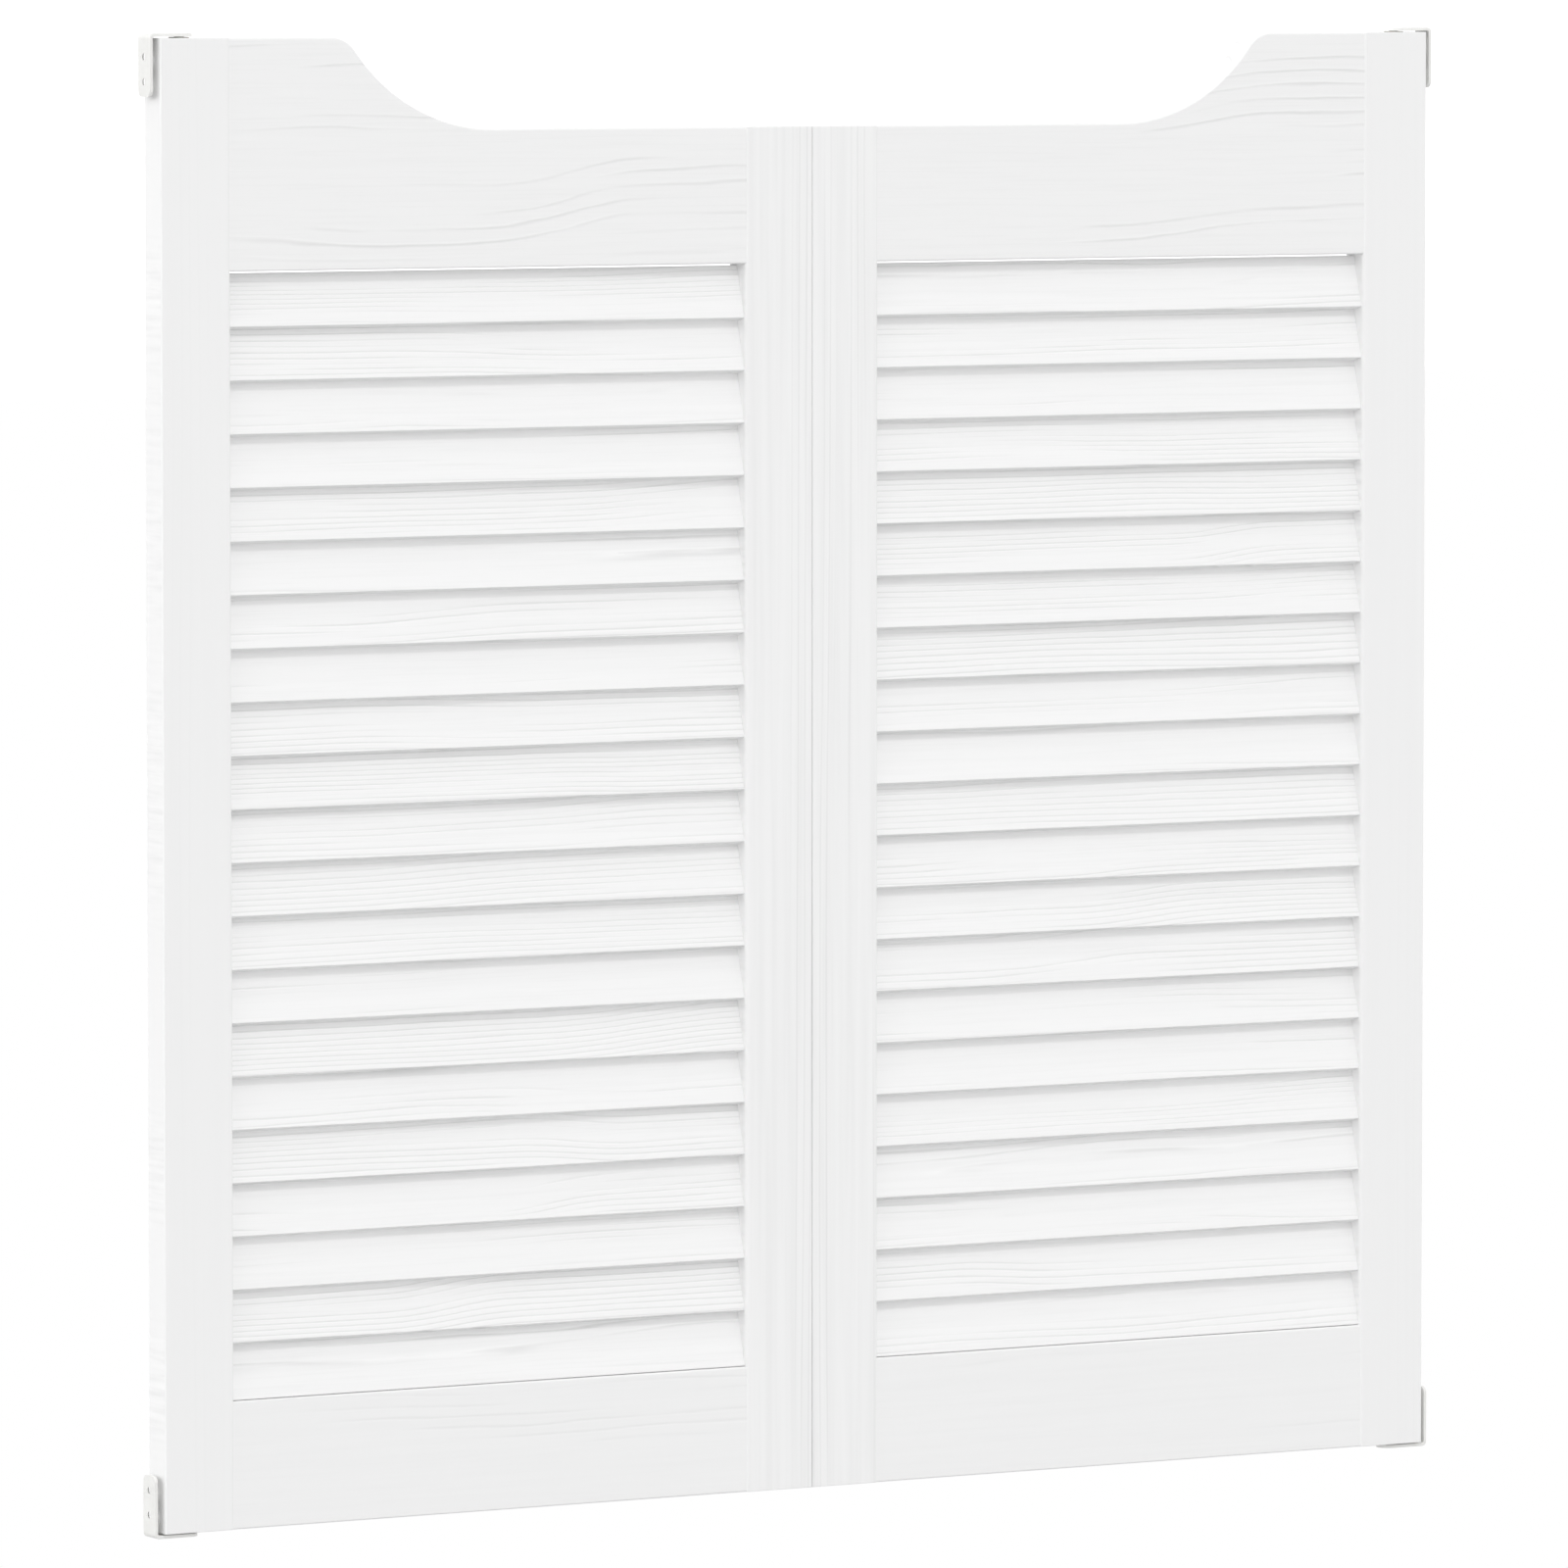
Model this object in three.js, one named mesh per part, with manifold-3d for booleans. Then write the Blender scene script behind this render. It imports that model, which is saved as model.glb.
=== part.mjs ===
// Louvred cafe doors: a pair of painted pine leaves on sprung double-action pivots.
// Millimetres, +X to the right, +Y away from the viewer, +Z up. The origin is at the bottom
// centre of the pair, in the middle of its thickness.

import * as THREE from 'three';
import { mergeVertices } from 'three/addons/utils/BufferGeometryUtils.js';
import Module from 'manifold-3d';

const wasm = await Module();
wasm.setup();

// The pair of leaves
const pairWidth = 900;
const leafHeight = 900;
const leafGap = 0.4; // the leaves all but touch
const thickness = 22;
const fit = 0.3; // gap all round an end that sits in a housing, mortise or bore

// Uprights
const stileWidth = 47;
const openingArris = 2.5; // radius of the eased long edges beside the slats
const outerArris = 1.2; // of those at the hinge side of the leaf
const meetingArris = 0.5; // of those where the leaves meet

// Cross rails, a little thinner than the stiles
const railThickness = 20.6;
const railArris = 1.2;
const bottomRailHeight = 78;
const topRailHeight = 139.6;
const tenonLength = 20;
const tenonThickness = 8;
const tenonShoulder = 12; // from the rail's edge to the tenon's edge
const tenonTopShoulder = 22; // deeper below the top end of a stile

// Curved top edge: level at the hinge side, a convex and a concave arc, level at the meeting side
const topLevelRun = 116; // from the outer edge of the leaf
const topDip = 56;
const convexRadius = 20;
const concaveRadius = 118;

// Louvre slats, front edge low
const slatCount = 21;
const slatPitch = 32.29;
const slatWidth = 32.6;
const slatThickness = 7;
const slatEdge = 0.5; // radius of the eased edges
const slatLean = THREE.MathUtils.degToRad(15.8); // from upright, top edge towards the back
const slatSetback = 2.5; // lower front edge behind the face of the stile
const lowestSlatRise = 3.4; // lower front edge of the bottom slat above the bottom rail
const housingDepth = 6;

// Pivot line and the clearances round it
const pivotInset = 18; // from the outer edge of the leaf
const jambGap = 3.5; // outer edge of the leaf to the jamb plate
const armClearance = 0.8; // end of the leaf to the bracket arm
const turningGap = 0.2; // radial, pin to bush

// Jamb brackets, folded from steel strip
const stripThickness = 2;
const stripWidth = 16;
const plateHeight = 36;
const plateCorner = 4;
const foldRadius = 1; // inside the fold
const screwHoleRadius = 2.1;
const countersinkRadius = 4.1;
const screwHoleHeights = [12, 27]; // above the arm
const pinRadius = 3;
const upperPinLength = 22;
const postLength = 48; // arm to the underside of the head
const postHeadRadius = 4.8;
const postHeadHeight = 3;

// Spring tube, let into the bottom end of the hinge stile
const tubeRadius = 6.2;
const tubeWall = 0.9;
const tubeLength = 58;
const tubeLip = 4.5; // thick ring at the mouth that turns on the post
const tubeCap = 3;
const standProud = 0.5; // tube and bush beyond the end of the leaf

// Torsion spring round the post
const coilRadius = 4.1;
const coilWire = 1.2;
const coilTurns = 12;
const coilPitch = 3;
const coilStart = 9.5; // lowest turn above the arm
const coilBend = 1.5; // radius from the coil into each straight leg
const coilStepsPerTurn = 8;
const coilSides = 5;
const legSlotRadius = coilWire / 2 + fit;

// Upper bush, let into the top end of the hinge stile
const bushRadius = 4.8;
const bushLength = 24;
const bushFlangeRadius = 6.2;
const bushFlange = 2;

// Worked-out sizes
const leafWidth = (pairWidth - leafGap) / 2;
const openingWidth = leafWidth - 2 * stileWidth;
const leafBottom = stripThickness + armClearance;
const leafTop = leafBottom + leafHeight;
const meetingHeight = leafHeight - topDip;
const pivotX = pairWidth / 2 - pivotInset;
const plateInner = pivotInset + jambGap; // pivot line to the plate
const plateOuter = plateInner + stripThickness;
const roundSides = 24;

const paintedPine = new THREE.MeshStandardMaterial({ color: 0xf4f4f4, roughness: 0.5, metalness: 0 });
const powderCoat = new THREE.MeshStandardMaterial({ color: 0xf2f2f0, roughness: 0.45, metalness: 0 });
const zincSteel = new THREE.MeshStandardMaterial({ color: 0xb9bcc0, roughness: 0.35, metalness: 1 });
const springSteel = new THREE.MeshStandardMaterial({ color: 0x6d7075, roughness: 0.3, metalness: 1 });
const nylon = new THREE.MeshStandardMaterial({ color: 0xe9e6dc, roughness: 0.6, metalness: 0 });

// Axes that a flat outline is extruded along
const xAxis = new THREE.Vector3(1, 0, 0);
const yAxis = new THREE.Vector3(0, 1, 0);
const zAxis = new THREE.Vector3(0, 0, 1);
const alongX = new THREE.Matrix4().makeBasis(yAxis, zAxis, xAxis);
const alongY = new THREE.Matrix4().makeBasis(xAxis, zAxis, yAxis.clone().negate());

// Solid for joining and cutting, from a closed geometry
function toSolid(geometry) {
  const bare = geometry.clone();
  bare.deleteAttribute('normal');
  bare.deleteAttribute('uv');
  const merged = mergeVertices(bare, 1e-4);
  const mesh = new wasm.Mesh({
    numProp: 3,
    vertProperties: merged.attributes.position.array,
    triVerts: Uint32Array.from(merged.index.array),
  });
  return new wasm.Manifold(mesh);
}

function toGeometry(solid) {
  const mesh = solid.getMesh();
  const geometry = new THREE.BufferGeometry();
  geometry.setAttribute('position', new THREE.BufferAttribute(mesh.vertProperties, 3));
  geometry.setIndex(new THREE.BufferAttribute(mesh.triVerts, 1));
  geometry.computeVertexNormals();
  return geometry;
}

function subtractAll(solid, cutters) {
  return cutters.reduce((rest, cutter) => rest.subtract(cutter), solid);
}

function extrude(shape, depth, curveSegments) {
  const geometry = new THREE.ExtrudeGeometry(shape, { depth, curveSegments, bevelEnabled: false });
  return geometry.translate(0, 0, -depth / 2);
}

function box(width, depth, height, x, y, z) {
  return toSolid(new THREE.BoxGeometry(width, depth, height).translate(x, y, z));
}

function uprightCylinder(radius, low, high, x = 0, y = 0) {
  const geometry = new THREE.CylinderGeometry(radius, radius, high - low, roundSides);
  return toSolid(geometry.rotateX(Math.PI / 2).translate(x, y, (low + high) / 2));
}

// Turned form about Z, from [radius, height] pairs
function turned(profile) {
  const points = profile.map(([radius, height]) => new THREE.Vector2(radius, height));
  return new THREE.LatheGeometry(points, roundSides).rotateX(Math.PI / 2);
}

// The corners at its left may have a radius of their own
function roundedRectangle(width, height, radius, leftRadius = radius) {
  const shape = new THREE.Shape();
  const right = width / 2 - radius;
  const left = leftRadius - width / 2;
  const quarter = Math.PI / 2;
  shape.absarc(right, height / 2 - radius, radius, 0, quarter);
  shape.absarc(left, height / 2 - leftRadius, leftRadius, quarter, 2 * quarter);
  shape.absarc(left, leftRadius - height / 2, leftRadius, 2 * quarter, 3 * quarter);
  shape.absarc(right, radius - height / 2, radius, 3 * quarter, 4 * quarter);
  shape.closePath();
  return shape;
}

// Middle of a slat's section, counted from the bottom slat, above the bottom of the leaf
function slatCentre(index) {
  const frontEdge = bottomRailHeight + lowestSlatRise + index * slatPitch;
  const halfWidth = slatWidth / 2;
  const halfThickness = slatThickness / 2;
  const y = slatSetback - thickness / 2 + halfWidth * Math.sin(slatLean) + halfThickness * Math.cos(slatLean);
  const z = frontEdge + halfWidth * Math.cos(slatLean) - halfThickness * Math.sin(slatLean);
  return new THREE.Vector3(0, y, z);
}

function slatGeometry() {
  const length = openingWidth + 2 * (housingDepth - fit);
  const section = roundedRectangle(slatThickness, slatWidth, slatEdge);
  return extrude(section, length, 1).applyMatrix4(alongX);
}

// Slanted housings for the slat ends, in the face of a stile that looks along inward (+1 or -1)
function slatHousings(inward) {
  const section = roundedRectangle(slatThickness + 2 * fit, slatWidth + 2 * fit, slatEdge + fit);
  const housings = [];
  for (let index = 0; index < slatCount; index += 1) {
    const centre = slatCentre(index);
    const geometry = extrude(section, 2 * housingDepth, 1).applyMatrix4(alongX).rotateX(-slatLean);
    geometry.translate(inward * stileWidth / 2, centre.y, centre.z);
    housings.push(toSolid(geometry));
  }
  return housings;
}

// Heights of the tenons at the end of a rail that spans low to high
function tenonSpan(low, high, topShoulder) {
  return [low + tenonShoulder, high - topShoulder];
}

function mortise(inward, [low, high]) {
  const depth = tenonLength + 2 * fit;
  const height = high - low + 2 * fit;
  return box(2 * depth, tenonThickness + 2 * fit, height, inward * stileWidth / 2, 0, (low + high) / 2);
}

// Upright with its opening side towards inward (+1 or -1) and farArris on its other side
function stile(height, inward, farArris) {
  const [right, left] = inward > 0 ? [openingArris, farArris] : [farArris, openingArris];
  const section = roundedRectangle(stileWidth, thickness, right, left);
  const board = toSolid(extrude(section, height, 2).translate(0, 0, height / 2));
  const lowTenon = tenonSpan(0, bottomRailHeight, tenonShoulder);
  const highTenon = tenonSpan(leafHeight - topRailHeight, height, tenonTopShoulder);
  const cutters = [...slatHousings(inward), mortise(inward, lowTenon), mortise(inward, highTenon)];
  return subtractAll(board, cutters);
}

// Outer upright, bored at both ends for the pivots
function hingeStile(inward) {
  const x = -inward * (stileWidth / 2 - pivotInset);
  const boreTop = tubeLength - standProud + fit;
  const bushBottom = leafHeight + standProud - bushLength - fit;
  const flangeBottom = leafHeight + standProud - bushFlange - fit;
  const bores = [
    uprightCylinder(tubeRadius + fit, -1, boreTop, x),
    uprightCylinder(bushRadius + fit, bushBottom, leafHeight + 1, x),
    uprightCylinder(bushFlangeRadius + fit, flangeBottom, leafHeight + 1, x),
  ];
  return toGeometry(subtractAll(stile(leafHeight, inward, outerArris), bores));
}

function meetingStile(inward) {
  return toGeometry(stile(meetingHeight, inward, meetingArris));
}

// Rail board from its outline in the plane of the leaf, with eased edges and a tenon at each end
function rail(outline, leftTenon, rightTenon) {
  const board = new THREE.ExtrudeGeometry(outline, {
    depth: railThickness - 2 * railArris,
    curveSegments: 6,
    bevelThickness: railArris,
    bevelSize: railArris,
    bevelOffset: -railArris,
    bevelSegments: 1,
  });
  board.translate(0, 0, railArris - railThickness / 2).applyMatrix4(alongY);
  const root = 10; // length of tenon inside the board, where it is joined
  const length = tenonLength + root;
  const middle = openingWidth / 2 - fit - root + length / 2;
  const tenons = [[-1, leftTenon], [1, rightTenon]].map(([end, [low, high]]) => (
    box(length, tenonThickness, high - low, end * middle, 0, (low + high) / 2)
  ));
  return toGeometry(tenons.reduce((joined, tenon) => joined.add(tenon), toSolid(board)));
}

function bottomRail() {
  const half = openingWidth / 2 - fit;
  const outline = new THREE.Shape();
  outline.moveTo(-half, 0);
  outline.lineTo(half, 0);
  outline.lineTo(half, bottomRailHeight);
  outline.lineTo(-half, bottomRailHeight);
  outline.closePath();
  const tenon = tenonSpan(0, bottomRailHeight, tenonShoulder);
  return rail(outline, tenon, tenon);
}

// Top rail of the left leaf, which is turned about Z for the right leaf
function topRail() {
  const half = openingWidth / 2 - fit;
  const low = leafHeight - topRailHeight;
  const convexX = topLevelRun - stileWidth - openingWidth / 2;
  const convexZ = leafHeight - convexRadius;
  const concaveZ = meetingHeight + concaveRadius;
  const reach = convexRadius + concaveRadius;
  const concaveX = convexX + Math.sqrt(reach ** 2 - (concaveZ - convexZ) ** 2);
  const inflection = Math.atan2(concaveZ - convexZ, concaveX - convexX);
  const outline = new THREE.Shape();
  outline.moveTo(-half, low);
  outline.lineTo(half, low);
  outline.lineTo(half, meetingHeight);
  outline.absarc(concaveX, concaveZ, concaveRadius, 1.5 * Math.PI, Math.PI + inflection, true);
  outline.absarc(convexX, convexZ, convexRadius, inflection, Math.PI / 2);
  outline.lineTo(-half, leafHeight);
  outline.closePath();
  return rail(
    outline,
    tenonSpan(low, leafHeight, tenonTopShoulder),
    tenonSpan(low, meetingHeight, tenonTopShoulder),
  );
}

// Folded strip of a jamb bracket: the pivot line is the Z axis, the arm's inner face is at Z = 0
// and the plate stands at the jamb, towards -X
function bracketStrip() {
  const half = stripWidth / 2;
  const foldX = foldRadius - plateInner;
  const outerFold = foldRadius + stripThickness;
  const side = new THREE.Shape();
  side.moveTo(half, -stripThickness);
  side.lineTo(half, 0);
  side.lineTo(foldX, 0);
  side.absarc(foldX, foldRadius, foldRadius, 1.5 * Math.PI, Math.PI, true);
  side.lineTo(-plateInner, plateHeight);
  side.lineTo(-plateOuter, plateHeight);
  side.absarc(foldX, foldRadius, outerFold, Math.PI, 1.5 * Math.PI);
  side.closePath();
  const strip = toSolid(extrude(side, stripWidth, 2).applyMatrix4(alongY));

  const plan = new THREE.Shape();
  plan.moveTo(-2 * plateOuter, -half);
  plan.absarc(0, 0, half, -Math.PI / 2, Math.PI / 2);
  plan.lineTo(-2 * plateOuter, half);
  plan.closePath();
  const roundEnd = toSolid(extrude(plan, 4 * plateHeight, 6));

  const face = new THREE.Shape();
  const cornerZ = plateHeight - plateCorner;
  face.moveTo(-half, -2 * stripThickness);
  face.lineTo(half, -2 * stripThickness);
  face.absarc(half - plateCorner, cornerZ, plateCorner, 0, Math.PI / 2);
  face.absarc(plateCorner - half, cornerZ, plateCorner, Math.PI / 2, Math.PI);
  face.closePath();
  const roundPlate = toSolid(extrude(face, 4 * plateOuter, 2).applyMatrix4(alongX));

  return subtractAll(strip.intersect(roundEnd).intersect(roundPlate), screwHoles());
}

// Countersunk from the side of the leaf
function screwHoles() {
  const through = turned([
    [0, -plateOuter - 1],
    [screwHoleRadius, -plateOuter - 1],
    [screwHoleRadius, screwHoleRadius - countersinkRadius - plateInner],
    [countersinkRadius, -plateInner],
    [countersinkRadius, 1 - plateInner],
    [0, 1 - plateInner],
  ]).rotateY(Math.PI / 2);
  return screwHoleHeights.map((height) => toSolid(through.clone().translate(0, 0, height)));
}

// Lower bracket with the post; its head has an open slot for the upper leg of the spring
function lowerBracket() {
  const top = postLength + postHeadHeight;
  const slotAngle = 2 * Math.PI * coilTurns + coilBend / coilRadius;
  const slotX = coilRadius * Math.cos(slotAngle);
  const slotY = coilRadius * Math.sin(slotAngle);
  const post = uprightCylinder(pinRadius, -stripThickness / 2, top);
  const head = uprightCylinder(postHeadRadius, postLength, top);
  const slot = uprightCylinder(legSlotRadius, postLength - 1, top + 1, slotX, slotY);
  return toGeometry(bracketStrip().add(post).add(head.subtract(slot)).subtract(slot));
}

function upperBracket() {
  return toGeometry(bracketStrip().add(uprightCylinder(pinRadius, -stripThickness / 2, upperPinLength)));
}

// Steel cup, mouth down, with an open slot in its lip for the lower leg of the spring
function springTube() {
  const low = armClearance - standProud;
  const high = low + tubeLength;
  const bore = tubeRadius - tubeWall;
  const mouth = pinRadius + turningGap;
  const cup = toSolid(turned([
    [0, high - tubeCap],
    [bore, high - tubeCap],
    [bore, low + tubeLip],
    [mouth, low + tubeLip],
    [mouth, low],
    [tubeRadius, low],
    [tubeRadius, high],
    [0, high],
  ]));
  const slotAngle = -coilBend / coilRadius;
  const slotX = coilRadius * Math.cos(slotAngle);
  const slotY = coilRadius * Math.sin(slotAngle);
  return toGeometry(cup.subtract(uprightCylinder(legSlotRadius, low - 1, low + tubeLip + 1, slotX, slotY)));
}

function upperBush() {
  const mouth = pinRadius + turningGap;
  const low = armClearance - standProud;
  return turned([
    [mouth, low],
    [bushFlangeRadius, low],
    [bushFlangeRadius, low + bushFlange],
    [bushRadius, low + bushFlange],
    [bushRadius, low + bushLength],
    [mouth, low + bushLength],
    [mouth, low],
  ]);
}

// Line of the spring's wire: a leg up from the lip, the turns, and a leg up into the post's head
function coilLine() {
  const line = [];
  const bendSteps = 3;
  const fullTurn = 2 * Math.PI;
  const coilHeight = coilTurns * coilPitch;
  const lowLegEnd = armClearance - standProud + tubeLip / 2;
  const highLegEnd = postLength + postHeadHeight / 2;
  const place = (angle, height) => line.push(
    new THREE.Vector3(coilRadius * Math.cos(angle), coilRadius * Math.sin(angle), height),
  );
  const bendPoint = (step) => {
    const turn = (step / bendSteps) * (Math.PI / 2);
    return [coilBend * Math.sin(turn) / coilRadius, coilBend * (1 - Math.cos(turn))];
  };
  place(-coilBend / coilRadius, lowLegEnd);
  for (let step = bendSteps; step > 0; step -= 1) {
    const [angle, drop] = bendPoint(step);
    place(-angle, coilStart - drop);
  }
  for (let step = 0; step <= coilTurns * coilStepsPerTurn; step += 1) {
    const share = step / (coilTurns * coilStepsPerTurn);
    place(fullTurn * coilTurns * share, coilStart + coilHeight * share);
  }
  for (let step = 1; step <= bendSteps; step += 1) {
    const [angle, rise] = bendPoint(step);
    place(fullTurn * coilTurns + angle, coilStart + coilHeight + rise);
  }
  place(fullTurn * coilTurns + coilBend / coilRadius, highLegEnd);
  return line;
}

// Least distance between two turns of the wire, surface to surface
function leastGap(line) {
  let least = Infinity;
  for (let a = 0; a < line.length; a += 1) {
    for (let b = a + coilStepsPerTurn - 2; b < line.length; b += 1) {
      least = Math.min(least, line[a].distanceTo(line[b]) - coilWire);
    }
  }
  return least;
}

// Round wire swept along its line in one unbroken tube
function torsionSpring() {
  const line = coilLine();
  const positions = [];
  const triangles = [];
  line.forEach((point, step) => {
    const before = line[Math.max(step - 1, 0)];
    const after = line[Math.min(step + 1, line.length - 1)];
    const along = after.clone().sub(before).normalize();
    const outward = new THREE.Vector3(point.x, point.y, 0).normalize();
    const across = along.clone().cross(outward).normalize();
    for (let side = 0; side < coilSides; side += 1) {
      const angle = (side / coilSides) * 2 * Math.PI;
      const rim = point.clone();
      rim.addScaledVector(outward, (coilWire / 2) * Math.cos(angle));
      rim.addScaledVector(across, (coilWire / 2) * Math.sin(angle));
      positions.push(rim.x, rim.y, rim.z);
    }
  });
  const last = (line.length - 1) * coilSides;
  for (let ring = 0; ring < last; ring += coilSides) {
    for (let side = 0; side < coilSides; side += 1) {
      const next = (side + 1) % coilSides;
      const above = ring + coilSides;
      triangles.push(ring + side, ring + next, above + next);
      triangles.push(ring + side, above + next, above + side);
    }
  }
  for (let side = 1; side < coilSides - 1; side += 1) {
    triangles.push(0, side + 1, side);
    triangles.push(last, last + side, last + side + 1);
  }
  console.log(`torsion spring, least gap between turns: ${leastGap(line).toFixed(2)} mm`);
  const geometry = new THREE.BufferGeometry();
  geometry.setAttribute('position', new THREE.Float32BufferAttribute(positions, 3));
  geometry.setIndex(triangles);
  geometry.computeVertexNormals();
  return geometry;
}

function addPiece(group, name, geometry, material, x = 0, y = 0, z = 0) {
  const piece = new THREE.Mesh(geometry, material);
  piece.name = name;
  piece.position.set(x, y, z);
  group.add(piece);
  return piece;
}

// Shapes that both leaves share
const shared = {
  slat: slatGeometry(),
  bottomRail: bottomRail(),
  topRail: topRail(),
  lowerBracket: lowerBracket(),
  upperBracket: upperBracket(),
  springTube: springTube(),
  torsionSpring: torsionSpring(),
  upperBush: upperBush(),
};

// One leaf; outward is -1 for the left leaf and +1 for the right one
function leaf(name, outward) {
  const group = new THREE.Group();
  group.position.set(outward * pairWidth / 2, 0, leafBottom);
  const inward = -outward;
  const middle = inward * leafWidth / 2;
  const stileInset = inward * stileWidth / 2;
  addPiece(group, `${name}_hinge_stile`, hingeStile(inward), paintedPine, stileInset);
  addPiece(group, `${name}_meeting_stile`, meetingStile(outward), paintedPine, inward * leafWidth - stileInset);
  addPiece(group, `${name}_bottom_rail`, shared.bottomRail, paintedPine, middle);
  const top = addPiece(group, `${name}_top_rail`, shared.topRail, paintedPine, middle);
  top.rotation.z = outward > 0 ? Math.PI : 0;
  for (let fromTop = 1; fromTop <= slatCount; fromTop += 1) {
    const centre = slatCentre(slatCount - fromTop);
    const slatName = `${name}_slat_${String(fromTop).padStart(2, '0')}`;
    const slat = addPiece(group, slatName, shared.slat, paintedPine, middle, centre.y, centre.z);
    slat.rotation.x = -slatLean;
  }
  return group;
}

// Pivots of one leaf; the right-hand set is the left-hand one turned round the pivot line
function pivots(name, outward) {
  const group = new THREE.Group();
  group.position.x = outward * pivotX;
  group.rotation.z = outward > 0 ? Math.PI : 0;
  const lower = new THREE.Group();
  lower.position.z = stripThickness;
  addPiece(lower, `${name}_lower_jamb_bracket`, shared.lowerBracket, powderCoat);
  addPiece(lower, `${name}_spring_tube`, shared.springTube, zincSteel);
  addPiece(lower, `${name}_torsion_spring`, shared.torsionSpring, springSteel);
  const upper = new THREE.Group();
  upper.position.z = leafTop + armClearance;
  upper.rotation.x = Math.PI;
  addPiece(upper, `${name}_upper_jamb_bracket`, shared.upperBracket, powderCoat);
  addPiece(upper, `${name}_upper_bush`, shared.upperBush, nylon);
  group.add(lower, upper);
  return group;
}

const doors = new THREE.Group();
doors.add(leaf('left', -1), leaf('right', 1));
doors.add(pivots('left', -1), pivots('right', 1));

export default doors;
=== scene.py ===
import math
import random

import bmesh
import bpy
from mathutils import Matrix, Vector


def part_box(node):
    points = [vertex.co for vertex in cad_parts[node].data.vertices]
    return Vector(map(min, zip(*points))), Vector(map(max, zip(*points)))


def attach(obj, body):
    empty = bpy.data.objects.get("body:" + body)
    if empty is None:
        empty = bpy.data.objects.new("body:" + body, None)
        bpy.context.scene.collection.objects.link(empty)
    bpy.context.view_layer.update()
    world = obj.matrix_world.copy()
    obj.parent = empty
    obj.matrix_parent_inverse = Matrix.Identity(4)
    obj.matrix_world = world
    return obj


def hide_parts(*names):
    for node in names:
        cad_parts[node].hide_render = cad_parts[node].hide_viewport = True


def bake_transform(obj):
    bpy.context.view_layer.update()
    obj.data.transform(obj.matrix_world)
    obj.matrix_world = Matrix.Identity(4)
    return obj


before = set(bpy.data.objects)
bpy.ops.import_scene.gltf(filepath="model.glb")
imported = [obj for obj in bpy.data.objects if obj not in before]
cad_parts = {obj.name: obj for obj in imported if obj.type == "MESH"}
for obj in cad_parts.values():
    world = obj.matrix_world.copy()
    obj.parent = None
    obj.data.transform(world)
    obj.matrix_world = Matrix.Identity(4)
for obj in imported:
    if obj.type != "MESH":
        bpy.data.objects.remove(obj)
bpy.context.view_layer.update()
scene = bpy.context.scene
scene.view_settings.view_transform = "Standard"
mm = 0.001
sides = ("left", "right")


# Materials

def toLinear(hexColour):
    parts = [int(hexColour[start:start + 2], 16) / 255 for start in (1, 3, 5)]
    return [part / 12.92 if part < 0.04045 else ((part + 0.055) / 1.055) ** 2.4 for part in parts] + [1]


# inputs holds fixed values, and output sockets of other nodes, which are linked
def addNode(tree, kind, inputs=None, **settings):
    node = tree.nodes.new(kind)
    for name, value in settings.items():
        setattr(node, name, value)
    for socket, value in (inputs or {}).items():
        if isinstance(value, bpy.types.NodeSocket):
            tree.links.new(value, node.inputs[socket])
        else:
            node.inputs[socket].default_value = value
    return node


def newMaterial(name):
    material = bpy.data.materials.new(name)
    material.use_nodes = True
    material.node_tree.nodes.clear()
    return material, material.node_tree


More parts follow.
